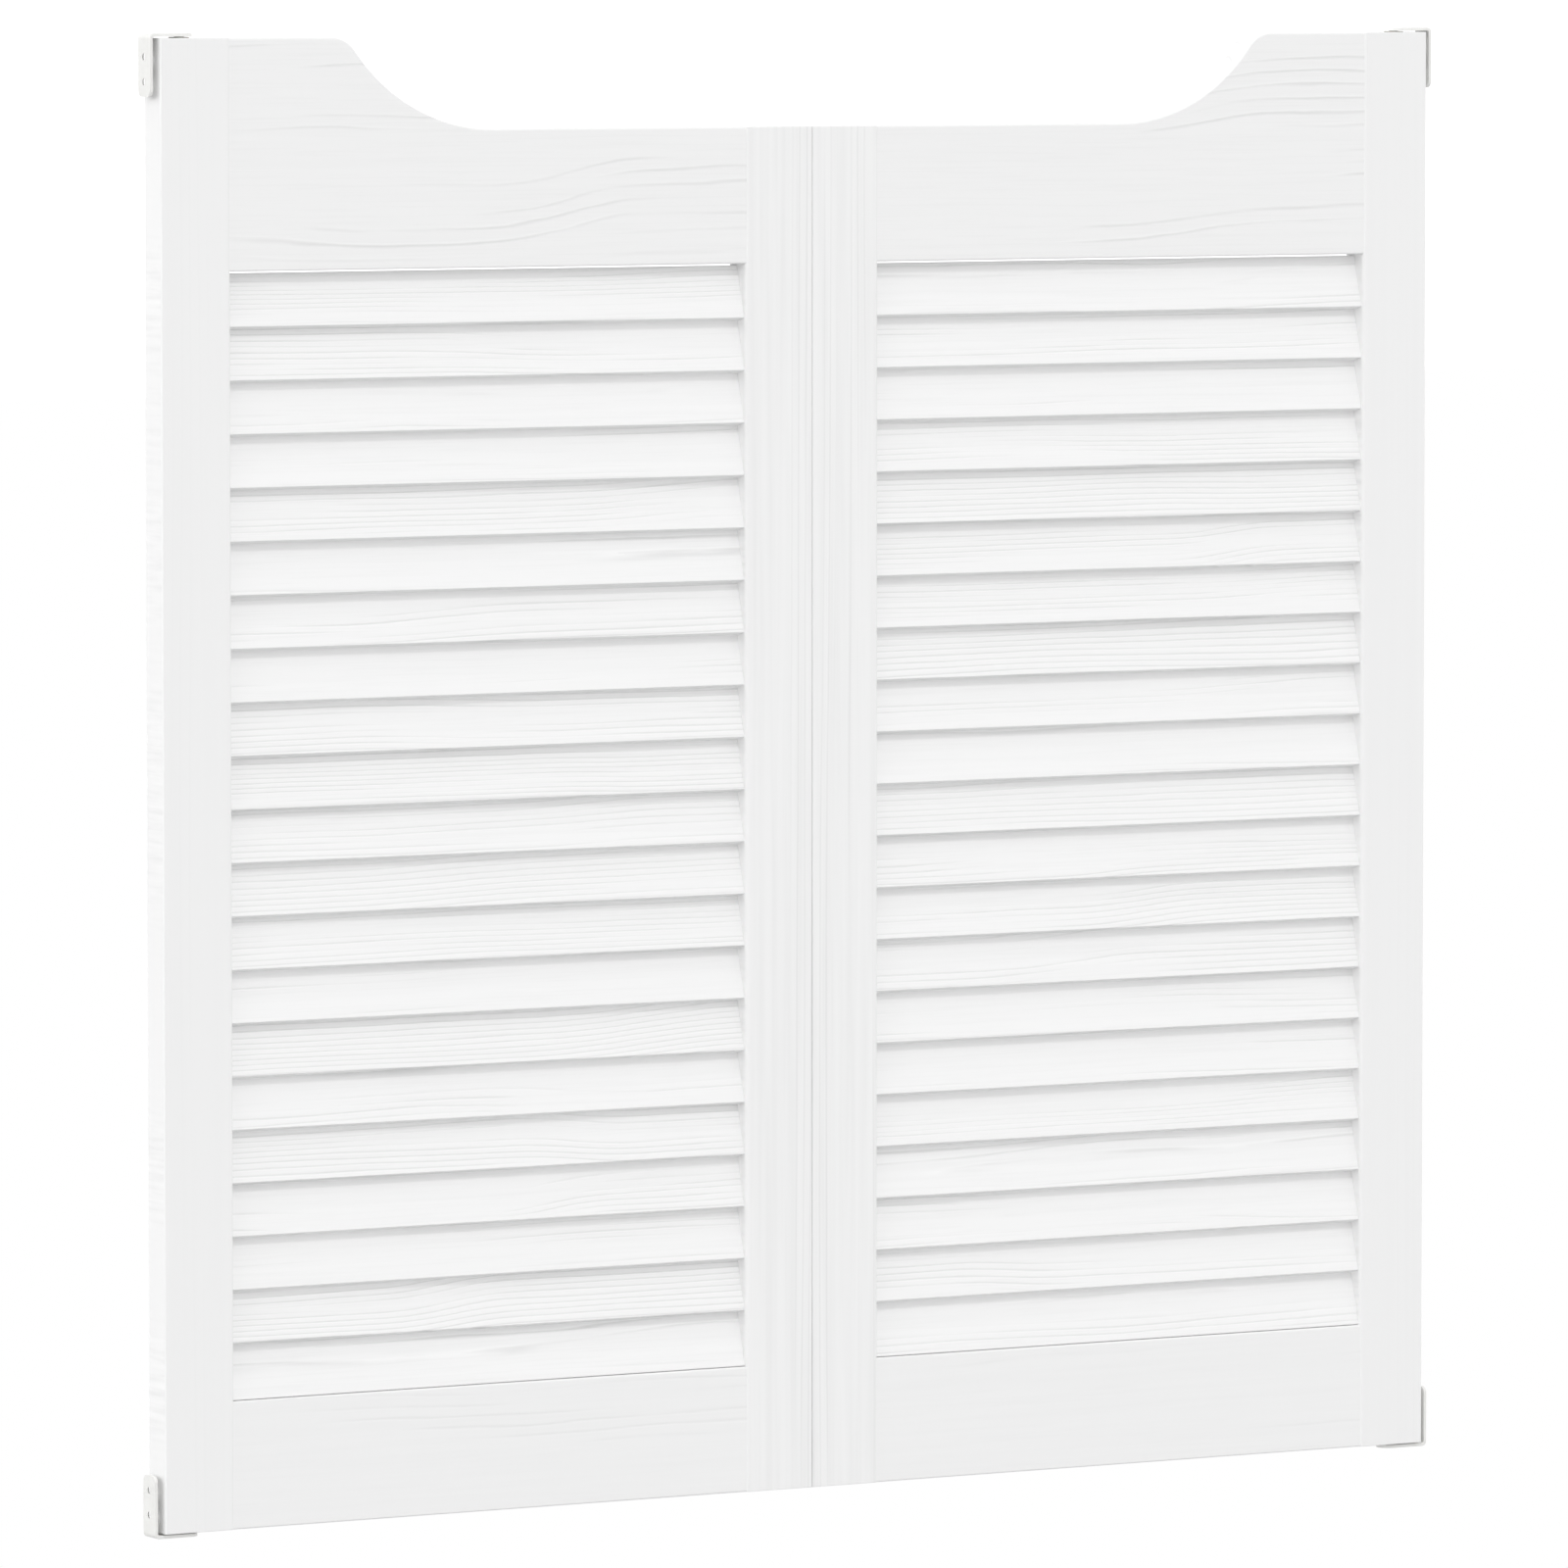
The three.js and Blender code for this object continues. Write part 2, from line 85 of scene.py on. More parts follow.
# Pine, planed, primed and sprayed with satin white.
# From a few steps away it is an even white. Nearer, the hard late wood of each growth ring lies as a
# shallow furrow in the paint, with painted shade in it and a painted highlight beside it, fibres run
# along the board with painted shade in their hollows, and the planer's knife marks cross its narrow
# edges in groups, with painted shade and highlight.
painted = {
    "white": "#f2f2f2",
    "furrow": "#b8b8b8",  # grey of painted shade in the furrows, fibre hollows and knife-mark hollows, and of darker streaks
    "furrowShare": 0.3,
    "ridgeHighlight": "#fdfdfd",  # painted highlight beside each furrow and on the crests of knife marks, and the white of paler streaks
    "ridgeShare": 0.45,
    "roughness": (0.42, 0.52),
    "ior": 1.5,
    "lateWood": (0.64, 0.86, 1.0),  # share of a ring where the furrow sets in, is deepest and ends
    "ridgeHighlightEnd": 0.16,  # share of the next ring where the painted ridge highlight ends
    "comesOver": 0.14,  # of the noise by which lines come and go, from not shown to shown in full
    "tangent": (0.15, 0.5),  # steepness of the rings to the face, where lines start and show in full
    "stray": 2.6,  # growth rings that a line strays by along a board
    "waver": 0.4,
    "strayCells": (1, 0.1, 0.1),  # of the noise, to a figure length along the grain and a ring across it
    "waverCells": (4, 0.7, 0.7),
    "fadeCells": (1, 0.3, 0.3),
    "lineDepth": 0.14,  # mm, as are the next three
    "fibreWidth": 1.3,
    "fibreLength": 70,
    "fibreDepth": 0.014,
    "hollowShadeShare": 0.14,  # of the furrow grey, as painted shade in the hollows between fibres
    "hollowNoise": (0.5, 0.36),  # where a hollow starts and is full
    "streakWidth": 4.5,  # mm, as is the next; streaks of paler and darker wood
    "streakLength": 220,
    "darkStreak": 0.3,  # of the furrow grey, as darker wood
    "paleStreak": 0.6,  # of the ridge highlight white, as paler wood
    "ripplePitch": 4.5,  # mm, as are the next three; knife marks, drawn coarser so that they show
    "rippleWidth": 50,
    "rippleDepth": 0.09,
    "rippleGroup": 130,
    "groupNoise": (0.4, 0.62),  # where a group starts and is full
    "edgeFacing": (0.85, 0.99),  # how far a face looks sideways, where knife marks start and are full
    "rippleShade": 0.45,  # of the furrow grey, as painted shade in the hollows of knife marks
    "rippleHighlight": 0.8,  # of the ridge highlight white, as painted highlight on their crests
    "markNoise": (0.34, 0.5, 0.66),  # streaks and knife marks at their darkest, even and at their palest
    "peelSize": 2.5,  # mm, as is the next; orange peel of the spray, drawn coarser so that it shows
    "peelDepth": 0.006,
}


def pineSprayedSatinWhite():
    material, tree = newMaterial("pine_sprayed_satin_white")
    ringPlace, grainPlace, swerve, shows = (
        addNode(tree, "ShaderNodeAttribute", attribute_name=name).outputs["Vector"]
        for name in ("ringPlace", "grainPlace", "swerve", "shows")
    )
    showsParts = addNode(tree, "ShaderNodeSeparateXYZ", {0: shows})
    lines, streaky, plain = (showsParts.outputs[axis] for axis in "XYZ")

    # places across the log, which swerve once along it
    ringParts = addNode(tree, "ShaderNodeSeparateXYZ", {0: ringPlace})
    swerveParts = addNode(tree, "ShaderNodeSeparateXYZ", {0: swerve})
    rise = addNode(tree, "ShaderNodeMapRange", {
        "Value": swerveParts.outputs["X"],
    }, interpolation_type="SMOOTHERSTEP")
    risen = addNode(tree, "ShaderNodeMath", {
        0: rise.outputs[0], 1: swerveParts.outputs["Y"],
    }, operation="MULTIPLY")
    sideways = addNode(tree, "ShaderNodeMath", {
        0: ringParts.outputs["Y"], 1: risen.outputs[0],
    }, operation="SUBTRACT")
    swerved = addNode(tree, "ShaderNodeCombineXYZ", {
        "X": ringParts.outputs["X"], "Y": sideways.outputs[0], "Z": ringParts.outputs["Z"],
    })

    # noise, in cells that are stretched along or across the grain
    fibreCells, streakCells, rippleCells = (
        (1 / painted[along], 1 / painted[across], 1 / painted[across])
        for along, across in (
            ("fibreLength", "fibreWidth"), ("streakLength", "streakWidth"), ("ripplePitch", "rippleWidth"),
        )
    )
    groupCells = (1 / painted["rippleGroup"], 0, 0)
    noise = {}
    for name, place, cells, detail in (
        ("stray", ringPlace, painted["strayCells"], 1.5),
        ("waver", ringPlace, painted["waverCells"], 2),
        ("fade", swerved.outputs[0], painted["fadeCells"], 3),
        ("fibre", grainPlace, fibreCells, 3),
        ("streak", grainPlace, streakCells, 1),
        ("ripple", grainPlace, rippleCells, 3),
        ("group", grainPlace, groupCells, 1),
    ):
        stretched = addNode(tree, "ShaderNodeVectorMath", {0: place, 1: cells}, operation="MULTIPLY")
        noise[name] = addNode(tree, "ShaderNodeTexNoise", {
            "Vector": stretched.outputs[0], "Scale": 1, "Detail": detail,
        }).outputs["Fac"]
    peel = addNode(tree, "ShaderNodeTexNoise", {
        "Vector": grainPlace, "Scale": 1 / painted["peelSize"], "Detail": 1,
    }).outputs["Fac"]

    # growth rings round the pith, which stray and waver along the log
    across = addNode(tree, "ShaderNodeVectorMath", {
        0: swerved.outputs[0], 1: (0, 1, 1),
    }, operation="MULTIPLY")
    out = addNode(tree, "ShaderNodeVectorMath", {0: across.outputs[0]}, operation="LENGTH")
    radius = out.outputs["Value"]
    ring = radius
    for name in ("stray", "waver"):
        ring = addNode(tree, "ShaderNodeMath", {
            0: noise[name], 1: painted[name], 2: ring,
        }, operation="MULTIPLY_ADD").outputs[0]
    ring = addNode(tree, "ShaderNodeMath", {0: ring}, operation="FRACT").outputs[0]
    setsIn, deepest, ends = painted["lateWood"]
    rising = addNode(tree, "ShaderNodeMapRange", {
        "Value": ring, "From Min": setsIn, "From Max": deepest,
    }, interpolation_type="SMOOTHSTEP")
    falling = addNode(tree, "ShaderNodeMapRange", {
        "Value": ring, "From Min": deepest, "From Max": ends, "To Min": 1, "To Max": 0,
    }, interpolation_type="SMOOTHSTEP")
    lateWood = addNode(tree, "ShaderNodeMath", {
        0: rising.outputs[0], 1: falling.outputs[0],
    }, operation="MULTIPLY")
    # painted highlight on a ridge beside each furrow; the ridge has no height in the bump
    ridgeHighlight = addNode(tree, "ShaderNodeMapRange", {
        "Value": ring, "From Max": painted["ridgeHighlightEnd"], "To Min": 1, "To Max": 0,
    }, interpolation_type="SMOOTHSTEP")

    # lines come and go under the paint, and don't show where the rings run along the face
    fully = addNode(tree, "ShaderNodeMath", {0: plain, 1: painted["comesOver"]}, operation="ADD")
    shown = addNode(tree, "ShaderNodeMapRange", {
        "Value": noise["fade"], "From Min": plain, "From Max": fully.outputs[0],
    }, interpolation_type="SMOOTHSTEP")
    aside = addNode(tree, "ShaderNodeMath", {0: sideways.outputs[0]}, operation="ABSOLUTE")
    steep = addNode(tree, "ShaderNodeMath", {0: aside.outputs[0], 1: radius}, operation="DIVIDE")
    crossing = addNode(tree, "ShaderNodeMapRange", {
        "Value": steep.outputs[0], "From Min": painted["tangent"][0], "From Max": painted["tangent"][1],
    }, interpolation_type="SMOOTHSTEP")
    visible = addNode(tree, "ShaderNodeMath", {
        0: shown.outputs[0], 1: crossing.outputs[0],
    }, operation="MULTIPLY")
    showing = addNode(tree, "ShaderNodeMath", {0: visible.outputs[0], 1: lines}, operation="MULTIPLY")
    # where lines show: the furrow, cut in the bump and painted with shade, and the painted ridge highlight
    furrow, ridgeHighlightShown = (
        addNode(tree, "ShaderNodeMath", {0: form.outputs[0], 1: showing.outputs[0]}, operation="MULTIPLY")
        for form in (lateWood, ridgeHighlight)
    )

    # painted shade in the hollows between fibres, streaks in the wood, and knife marks on faces that look
    # sideways, with painted shade in their hollows and a painted highlight on their crests
    hollow = addNode(tree, "ShaderNodeMapRange", {
        "Value": noise["fibre"], "From Min": painted["hollowNoise"][0], "From Max": painted["hollowNoise"][1],
    }, interpolation_type="SMOOTHSTEP")
    hollowShade = addNode(tree, "ShaderNodeMath", {0: hollow.outputs[0], 1: lines}, operation="MULTIPLY")
    # painted shade in the late-wood furrows and in the hollows between fibres
    furrowAndHollowShade = addNode(tree, "ShaderNodeMath", {
        0: hollowShade.outputs[0], 1: painted["hollowShadeShare"], 2: furrow.outputs[0],
    }, operation="MULTIPLY_ADD")
    grouped = addNode(tree, "ShaderNodeMapRange", {
        "Value": noise["group"], "From Min": painted["groupNoise"][0], "From Max": painted["groupNoise"][1],
    }, interpolation_type="SMOOTHSTEP")
    facing = addNode(tree, "ShaderNodeTexCoord").outputs["Normal"]
    facingParts = addNode(tree, "ShaderNodeSeparateXYZ", {0: facing})
    edgeOn = addNode(tree, "ShaderNodeMath", {0: facingParts.outputs["X"]}, operation="ABSOLUTE")
    startsAt, fullAt = painted["edgeFacing"]
    edge = addNode(tree, "ShaderNodeMapRange", {
        "Value": edgeOn.outputs[0], "From Min": startsAt, "From Max": fullAt,
    }).outputs[0]
    knifeMarkShading = addNode(tree, "ShaderNodeMath", {0: grouped.outputs[0], 1: edge}, operation="MULTIPLY")
    edgeRipple = addNode(tree, "ShaderNodeMath", {0: noise["ripple"], 1: edge}, operation="MULTIPLY")
    # darker and paler streaks of the wood; knife marks get painted shade in their hollows and a painted
    # highlight on their crests
    darkest, even, palest = painted["markNoise"]
    marks = [furrowAndHollowShade, ridgeHighlightShown]
    for pattern, amount, shares in (
        (noise["streak"], streaky, (painted["darkStreak"], painted["paleStreak"])),
        (noise["ripple"], knifeMarkShading.outputs[0], (painted["rippleShade"], painted["rippleHighlight"])),
    ):
        for way, (furthest, share) in enumerate(zip((darkest, palest), shares)):
            towards = addNode(tree, "ShaderNodeMapRange", {
                "Value": pattern, "From Min": even, "From Max": furthest, "To Max": share,
            })
            marks[way] = addNode(tree, "ShaderNodeMath", {
                0: towards.outputs[0], 1: amount, 2: marks[way].outputs[0],
            }, operation="MULTIPLY_ADD")
    shadeAndDarkStreak, highlightAndPaleStreak = marks

    # heights in mm, added up
    height = addNode(tree, "ShaderNodeMath", {
        0: furrow.outputs[0], 1: -painted["lineDepth"],
    }, operation="MULTIPLY")
    for source, depth in (
        (noise["fibre"], painted["fibreDepth"]),
        (edgeRipple.outputs[0], painted["rippleDepth"]),
        (peel, painted["peelDepth"]),
    ):
        height = addNode(tree, "ShaderNodeMath", {
            0: source, 1: depth, 2: height.outputs[0],
        }, operation="MULTIPLY_ADD")
    bump = addNode(tree, "ShaderNodeBump", {"Strength": 1, "Distance": mm, "Height": height.outputs[0]})

    # colour: the furrow grey for painted shade in furrows, fibre hollows and knife-mark hollows, and for
    # darker streaks; the ridge white for painted highlights beside furrows and on knife-mark crests, and for
    # paler streaks
    colour = toLinear(painted["white"])
    for source, share, tint in (
        (shadeAndDarkStreak, painted["furrowShare"], painted["furrow"]),
        (highlightAndPaleStreak, painted["ridgeShare"], painted["ridgeHighlight"]),
    ):
        part = addNode(tree, "ShaderNodeMath", {0: source.outputs[0], 1: share}, operation="MULTIPLY")
        colour = addNode(tree, "ShaderNodeMix", {
            0: part.outputs[0], 6: colour, 7: toLinear(tint),
        }, data_type="RGBA").outputs[2]
    sheen = addNode(tree, "ShaderNodeMapRange", {
        "Value": peel, "To Min": painted["roughness"][0], "To Max": painted["roughness"][1],
    })
    surface = addNode(tree, "ShaderNodeBsdfPrincipled", {
        "Base Color": colour,
        "Roughness": sheen.outputs[0],
        "IOR": painted["ior"],
        "Normal": bump.outputs["Normal"],
    })
    addNode(tree, "ShaderNodeOutputMaterial", {"Surface": surface.outputs[0]})
    return material


# Surface between two colours and two roughnesses, each by a pattern of its own, over bumps in mm
def variedSurface(tree, colours, colourBy, roughness, sheenBy, depth, bumpBy, settings):
    colour = addNode(tree, "ShaderNodeMix", {
        0: colourBy, 6: toLinear(colours[0]), 7: toLinear(colours[1]),
    }, data_type="RGBA")
    sheen = addNode(tree, "ShaderNodeMapRange", {
        "Value": sheenBy, "To Min": roughness[0], "To Max": roughness[1],
    })
    bump = addNode(tree, "ShaderNodeBump", {"Strength": 1, "Distance": depth * mm, "Height": bumpBy})
    surface = addNode(tree, "ShaderNodeBsdfPrincipled", {
        "Base Color": colour.outputs[2],
        "Roughness": sheen.outputs[0],
        "Normal": bump.outputs["Normal"],
        **settings,
    })
    addNode(tree, "ShaderNodeOutputMaterial", {"Surface": surface.outputs[0]})


# Mild steel strip, folded, then powder coated white and baked.
# A soft satin white with the low orange peel of melted powder.
coated = {
    "whites": ("#f0f0ee", "#e4e4e1"),
    "roughness": (0.38, 0.50),
    "ior": 1.5,
    "cloudSize": 12,  # mm, as are the next two
    "peelSize": 1.2,
    "peelDepth": 0.02,
}


def steelPowderCoatedWhite():
    material, tree = newMaterial("steel_powder_coated_white")
    place = addNode(tree, "ShaderNodeTexCoord").outputs["Object"]
    peel, cloud = (
        addNode(tree, "ShaderNodeTexNoise", {
            "Vector": place, "Scale": 1 / (coated[size] * mm), "Detail": 2,
        }).outputs["Fac"]
        for size in ("peelSize", "cloudSize")
    )
    variedSurface(
        tree, coated["whites"], cloud, coated["roughness"], peel, coated["peelDepth"], peel,
        {"IOR": coated["ior"]})
    return material


# Steel tube, turned and bright zinc plated.
# A cool grey metal with a faint crystal mottle and fine rings from the lathe.
zinc = {
    "greys": ("#c3c6ca", "#9a9ea4"),  # bright and dull
    "roughness": (0.26, 0.42),
    "crystal": 2.2,  # mm, as are the next two
    "latheRing": 0.5,
    "ringDepth": 0.012,
}


def steelZincPlated():
    material, tree = newMaterial("steel_zinc_plated")
    place = addNode(tree, "ShaderNodeTexCoord").outputs["Object"]
    crystal = addNode(tree, "ShaderNodeTexVoronoi", {"Vector": place, "Scale": 1 / (zinc["crystal"] * mm)})
    mottle = addNode(tree, "ShaderNodeSeparateColor", {0: crystal.outputs["Color"]})
    lathe = addNode(tree, "ShaderNodeVectorMath", {
        0: place, 1: (0, 0, 1 / (zinc["latheRing"] * mm)),
    }, operation="MULTIPLY")
    ring = addNode(tree, "ShaderNodeTexNoise", {"Vector": lathe.outputs[0], "Scale": 1, "Detail": 2})
    variedSurface(
        tree, zinc["greys"], mottle.outputs[0], zinc["roughness"], mottle.outputs[1],
        zinc["ringDepth"], ring.outputs["Fac"], {"Metallic": 1})
    return material


# Spring steel wire, cold drawn, oil tempered and coiled.
# A dark blue-grey metal, lightly greased, with the tempering scale showing as darker clouds.
spring = {
    "greys": ("#6c7076", "#43464b"),  # steel and scale
    "roughness": (0.24, 0.44),
    "cloud": 1.6,  # mm, as are the next two
    "drawLine": 0.15,
    "lineDepth": 0.006,
}


def springSteelDrawn():
    material, tree = newMaterial("spring_steel_drawn")
    place = addNode(tree, "ShaderNodeTexCoord").outputs["Object"]
    cloud, drawn = (
        addNode(tree, "ShaderNodeTexNoise", {
            "Vector": place, "Scale": 1 / (spring[size] * mm), "Detail": detail,
        }).outputs["Fac"]
        for size, detail in (("cloud", 3), ("drawLine", 1))
    )
    variedSurface(
        tree, spring["greys"], cloud, spring["roughness"], cloud, spring["lineDepth"], drawn,
        {"Metallic": 1})
    return material


# Nylon, injection moulded in a spark-eroded die.
# A milky off-white, slightly see-through at thin edges, with a fine matt texture.
bushNylon = {
    "milks": ("#ebe8de", "#dedacd"),
    "roughness": (0.48, 0.62),
    "ior": 1.53,
    "subsurface": 0.12,
    "subsurfaceDepth": 1,  # mm, as are the next three
    "flowSize": 6.0,
    "erosion": 0.6,
    "erosionDepth": 0.015,
}


def nylonMoulded():
    material, tree = newMaterial("nylon_moulded")
    place = addNode(tree, "ShaderNodeTexCoord").outputs["Object"]
    flow, erosion = (
        addNode(tree, "ShaderNodeTexNoise", {
            "Vector": place, "Scale": 1 / (bushNylon[size] * mm), "Detail": 2,
        }).outputs["Fac"]
        for size in ("flowSize", "erosion")
    )
    variedSurface(
        tree, bushNylon["milks"], flow, bushNylon["roughness"], erosion, bushNylon["erosionDepth"], erosion, {
            "IOR": bushNylon["ior"],
            "Subsurface Weight": bushNylon["subsurface"],
            "Subsurface Scale": bushNylon["subsurfaceDepth"] * mm,
        })
    return material


finishes = {
    "painted_pine": pineSprayedSatinWhite(),
    "powder_coated_steel": steelPowderCoatedWhite(),
    "zinc_plated_steel": steelZincPlated(),
    "spring_steel": springSteelDrawn(),
    "nylon": nylonMoulded(),
}
print("materials made:", len(finishes))


# Mesh making

turnedSides = 48  # of a turned form
smoothUpTo = math.radians(35)  # faces that meet at a larger angle have a sharp edge


# The corners at -X may have a radius of their own
def roundedSection(width, depth, radius, steps, leftRadius=None):
    points = []
    for corner, (signX, signY) in enumerate(((1, 1), (-1, 1), (-1, -1), (1, -1))):
        bend = leftRadius if leftRadius and signX < 0 else radius
        for step in range(steps + 1):
            angle = (corner + step / steps) * math.pi / 2
            x = signX * (width / 2 - bend) + bend * math.cos(angle)
            y = signY * (depth / 2 - bend) + bend * math.sin(angle)
            points.append((x, y))
    return points


def circle(radius, steps):
    return [(radius * math.cos(turn), radius * math.sin(turn))
            for turn in (2 * math.pi * step / steps for step in range(steps))]


# Skin over rings of equally many points, closed by its ends, or by joining the last ring to the first
def skin(mesh, rings, loop=False):
    rows = [[mesh.verts.new(point) for point in ring] for ring in rings]
    count = len(rows[0])
    for low, high in zip(rows, rows[1:] + rows[:1] if loop else rows[1:]):
        for here in range(count):
            there = (here + 1) % count
            mesh.faces.new((low[here], low[there], high[there], high[here]))
    if not loop:
        mesh.faces.new(rows[0][::-1])
        mesh.faces.new(rows[-1])


# Insets and levels of a quarter round, from its flat to its side
def quarterRound(radius, steps):
    for step in range(steps + 1):
        turn = step / steps * math.pi / 2
        yield radius * (1 - math.sin(turn)), radius * (1 - math.cos(turn))


# Board or bar along local Z, from its section at an inset, with both ends eased to a quarter round
def easedBar(mesh, sectionAt, length, place, ease, steps):
    rings = list(quarterRound(ease, steps))
    levels = rings + [(inset, length - rise) for inset, rise in reversed(rings)]
    skin(mesh, [[place @ Vector((x, y, level)) for x, y in sectionAt(inset)] for inset, level in levels])


# Turned form about local Z, from [radius, height] pairs
def turnedBar(mesh, profile, place, loop=False, steps=turnedSides):
    skin(mesh, [
        [place @ Vector((x, y, height)) for x, y in circle(radius, steps)] for radius, height in profile
    ], loop)


def newObject(name, mesh):
    bmesh.ops.recalc_face_normals(mesh, faces=mesh.faces)
    data = bpy.data.meshes.new(name)
    mesh.to_mesh(data)
    mesh.free()
    piece = bpy.data.objects.new(name, data)
    scene.collection.objects.link(piece)
    return piece


# Joins or cuts a piece with another form, which is used up
def carve(piece, tool, operation):
    change = piece.modifiers.new("carve", "BOOLEAN")
    change.operation = operation
    change.solver = "EXACT"
    change.object = tool
    shaped = bpy.data.meshes.new_from_object(piece.evaluated_get(bpy.context.evaluated_depsgraph_get()))
    piece.modifiers.clear()
    plain = piece.data
    piece.data = shaped
    shaped.name = piece.name
    bpy.data.meshes.remove(plain)
    toolData = tool.data
    bpy.data.objects.remove(tool)
    bpy.data.meshes.remove(toolData)


# Puts a piece in the place of its node, in its slot's finish
def dress(piece, node, slot):
    piece.data.shade_smooth()
    piece.data.set_sharp_from_angle(angle=smoothUpTo)
    normals = piece.modifiers.new("even_faces", "WEIGHTED_NORMAL")
    normals.keep_sharp = True
    piece.data.materials.clear()
    piece.data.materials.append(finishes[slot])
    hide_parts(node)


# Dresses a piece that moves with one body
def seat(piece, body, node, slot):
    dress(piece, node, slot)
    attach(piece, body)


def alongX(x, y, z, turn=0):
    return Matrix.Translation((x, y, z)) @ Matrix.Rotation(turn, 4, "X") @ Matrix(
        ((0, 0, 1, 0), (1, 0, 0, 0), (0, 1, 0, 0), (0, 0, 0, 1)))


def middleOf(node):
    low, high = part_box(node)
    return (low + high) / 2


def pivotX(side):
    return middleOf(f"{side}_spring_tube").x


# Clear opening of a leaf between its stiles
def opening(side):
    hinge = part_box(f"{side}_hinge_stile")
    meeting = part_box(f"{side}_meeting_stile")
    return (hinge[1].x, meeting[0].x) if side == "left" else (meeting[1].x, hinge[0].x)


fit = 0.3 * mm  # gap round an end that sits in a housing, mortise or bore
proud = 0.5 * mm  # spring tube and bush beyond the end of the leaf
mouthLow = 0.3 * mm  # mouth of tube and bush above the bracket's arm


# Wood

# Ranges in mm: width of a growth ring, pith from the board's middle, length over which the grain
# wanders, and the bend of the grain with its start from the middle, its run and its rise.
# Then how far lines and streaks show, and the part of the noise under which a board is plain
logs = {
    "hinge_stile": {
        "ring": (5, 6), "across": (70, 110), "behind": (10, 40), "figure": (700, 800),
        "bendAt": (-300, 200), "bendRun": (200, 300), "bendRise": (-3, 3),
        "lines": (0.06, 0.1), "streaks": (0.05, 0.08), "plain": (0.45, 0.5),
    },
    "meeting_stile": {
        "ring": (4.2, 5), "across": (60, 90), "behind": (10, 40), "figure": (900, 1000),
        "bendAt": (-300, 200), "bendRun": (300, 400), "bendRise": (-2, 2),
        "lines": (0.45, 0.55), "streaks": (0.5, 0.6), "plain": (0.46, 0.48),
    },
    "top_rail": {
        "ring": (7, 8), "across": (-110, -100), "behind": (24, 34), "figure": (240, 260),
        "bendAt": (-20, 20), "bendRun": (130, 150), "bendRise": (13, 16),
        "lines": (0.75, 0.85), "streaks": (0.1, 0.15), "plain": (0.5, 0.52),
    },
    "bottom_rail": {
        "ring": (6, 7), "across": (80, 100), "behind": (20, 30), "figure": (240, 260),
        "bendAt": (-120, 0), "bendRun": (130, 180), "bendRise": (-8, 8),
        "lines": (0.35, 0.4), "streaks": (0.1, 0.15), "plain": (0.5, 0.52),
    },
    "slat": {
        "ring": (2.8, 4.2), "across": (25, 90), "behind": (4, 30), "figure": (300, 340),
        "bendAt": (-150, 60), "bendRun": (90, 200), "bendRise": (-7, 9),
        "lines": (0.75, 1.05), "streaks": (0.15, 0.3), "plain": (0.3, 0.54),
    },
    "plain_sawn_slat": {
        "ring": (2.4, 3.4), "across": (-9, 9), "behind": (9, 18), "figure": (220, 260),
        "bendAt": (-150, 60), "bendRun": (90, 200), "bendRise": (-7, 9),
        "lines": (0.75, 1.05), "streaks": (0.15, 0.3), "plain": (0.36, 0.48),
    },
}
logLength = 4000  # mm
plainSawnShare = 0.25  # of the slats
woodpile = {"left": "d", "right": "a", "left_top_rail": "h"}  # another letter gives another board


def pickLog(kind, board):
    side = board.split("_")[0]
    draw = random.Random(board + woodpile.get(board, woodpile[side]))
    log = {name: draw.uniform(*span) for name, span in logs[kind].items()}
    log["start"] = draw.uniform(0, logLength)
    return log


# Where a board was sawn from its log: grainPlace runs along the grain in mm, ringPlace counts
# figure lengths along the grain and growth rings across it, from the pith, swerve holds the way
# through the bend of the grain and its rise in rings, and shows what shows through the paint
def sawFrom(piece, middle, alongGrain, log):
    places = {"grainPlace": [], "ringPlace": [], "swerve": [], "shows": []}
    for vertex in piece.data.vertices:
        x, y, z = (vertex.co - middle) / mm
        along, across = (z, x) if alongGrain == "z" else (x, z)
        places["swerve"] += ((along - log["bendAt"]) / log["bendRun"], log["bendRise"] / log["ring"], 0)
        places["shows"] += (log["lines"], log["streaks"], log["plain"])
        along += log["start"]
        places["grainPlace"] += (along, across + log["start"], y)
        places["ringPlace"] += (
            along / log["figure"],
            (across - log["across"]) / log["ring"],
            (y - log["behind"]) / log["ring"],
        )
    for name, values in places.items():
        piece.data.attributes.new(name, "FLOAT_VECTOR", "POINT").data.foreach_set("vector", values)


# Slats

slat = {
    "width": 32.6 * mm,
    "thickness": 7 * mm,
    "edge": 0.5 * mm,
    "edgeSteps": 5,
    "lean": math.radians(15.8),  # from upright, top edge towards the back
    "reachAbove": 0.25 * mm,  # beyond the solid, at the upper edge
    "reachBelow": 0.55 * mm,
    "lowestReach": 3 * mm,  # of the lowest slat, which is planed off over the rail
    "lowestEase": 0.8 * mm,  # round of its front edge
    "lowestGap": 0.3 * mm,
    "endEase": 0.4 * mm,
    "endSteps": 2,
    "housing": 6 * mm,
    "seat": 0.02 * mm,  # gap round a painted-in end
}
slatNumbers = sorted(int(node[-2:]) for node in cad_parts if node.startswith("left_slat_"))


def slatNode(side, number):
    return f"{side}_slat_{number:02d}"


# Middle and width of a slat's section
def slatSection(side, number):
    above = slat["reachAbove"]
    below = slat["lowestReach"] if number == slatNumbers[-1] else slat["reachBelow"]
    upward = Vector((0, math.sin(slat["lean"]), math.cos(slat["lean"])))
    return middleOf(slatNode(side, number)) + upward * (above - below) / 2, slat["width"] + above + below


